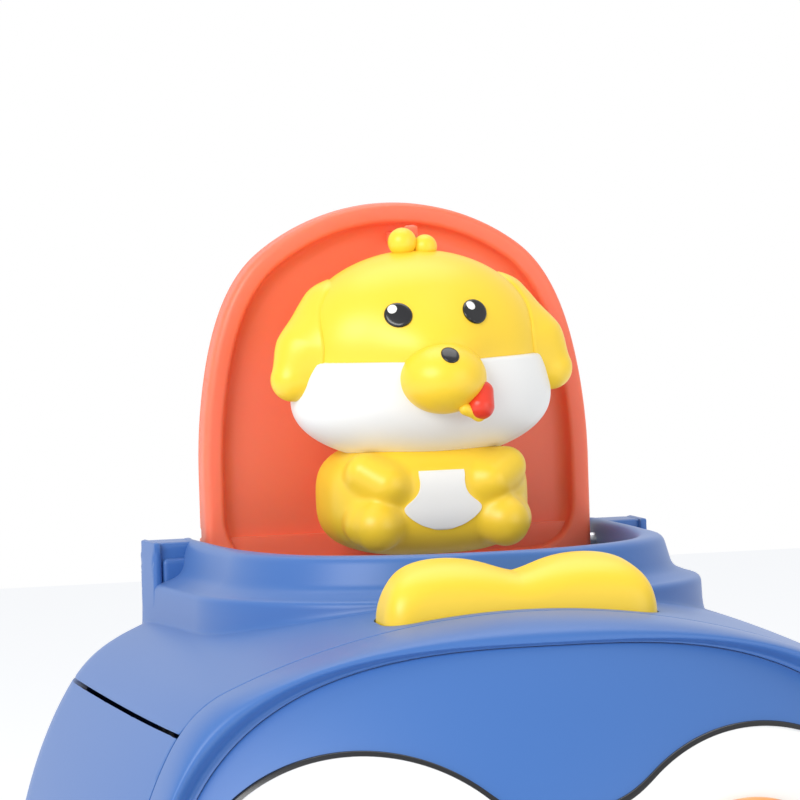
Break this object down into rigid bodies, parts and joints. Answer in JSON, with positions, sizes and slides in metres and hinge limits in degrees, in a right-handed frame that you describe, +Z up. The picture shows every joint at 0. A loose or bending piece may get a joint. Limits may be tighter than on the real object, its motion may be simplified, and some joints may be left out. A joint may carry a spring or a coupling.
{
  "type": "sensory ball",
  "caption": "Baby's activity ball with a bird's face, a push button and a spring-up lid that lifts a puppy figure out of a well.",
  "frame": {"origin": "middle of the flat underside of the ball", "axes": "+Z up, the bird's face looks along -Y, +X to its left side"},
  "size_m": [0.1282, 0.1306, 0.1707],
  "materials": {
    "blue_plastic": "glossy blue ABS",
    "white_plastic": "glossy white ABS",
    "black_plastic": "glossy black ABS",
    "orange_plastic": "glossy orange ABS",
    "yellow_plastic": "glossy yellow ABS",
    "coral_plastic": "glossy coral ABS",
    "red_plastic": "glossy red ABS",
    "grey_plastic": "light grey acetal",
    "screw_steel": "zinc-plated steel",
    "spring_steel": "spring steel",
    "pad_rubber": "black rubber"
  },
  "bodies": {
    "ball": {"top_shell": "blue_plastic", "lower_shell": "blue_plastic", "front_bezel": "blue_plastic", "face_panel": "blue_plastic", "face_mask": "white_plastic", "mask_outline": "black_plastic", "eye_ring_left": "orange_plastic", "eye_ring_right": "orange_plastic", "pupil_left": "black_plastic", "pupil_right": "black_plastic", "beak": "orange_plastic", "side_cover_left": "yellow_plastic", "side_cover_right": "yellow_plastic", "rear_cover": "yellow_plastic", "base_plate": "blue_plastic", "base_screws": "screw_steel", "foot_pad": "pad_rubber", "shell_screws": "screw_steel", "well_box": "white_plastic", "well_screws": "screw_steel", "hinge_pins": "screw_steel", "lid_springs": "spring_steel", "button_springs": "spring_steel"},
    "lid": {"lid_tray": "coral_plastic", "lid_cover": "coral_plastic", "figure_screws": "screw_steel", "puppy_body": "yellow_plastic", "puppy_head": "yellow_plastic", "puppy_ears": "yellow_plastic", "puppy_muzzle": "white_plastic", "puppy_snout": "yellow_plastic", "puppy_nose": "black_plastic", "puppy_tongue": "red_plastic", "puppy_eyes": "black_plastic", "puppy_belly_patch": "white_plastic"},
    "button": {"button": "yellow_plastic"},
    "latch": {"latch": "grey_plastic"}
  },
  "joints": [
    {"name": "lid_hinge", "type": "hinge", "parent": "ball", "child": "lid", "pos_m": [0, 0.037, 0.121], "axis": [1, 0, 0], "range_deg": [0, 90], "stiffness_Nm_per_rad": 0.02, "springref_deg": -34.38},
    {"name": "button_press", "type": "slide", "parent": "ball", "child": "button", "axis": [0, 0, -1], "range_m": [0, 0.003], "stiffness_N_per_m": 300, "springref_m": -0.003, "deforming": ["button_springs"]},
    {"name": "latch_slide", "type": "slide", "parent": "ball", "child": "latch", "axis": [0, -1, 0], "range_m": [0, 0.0018]}
  ],
  "couplings": [
    {"joint": "latch_slide", "follows": "button_press", "ratio": 0.6}
  ]
}
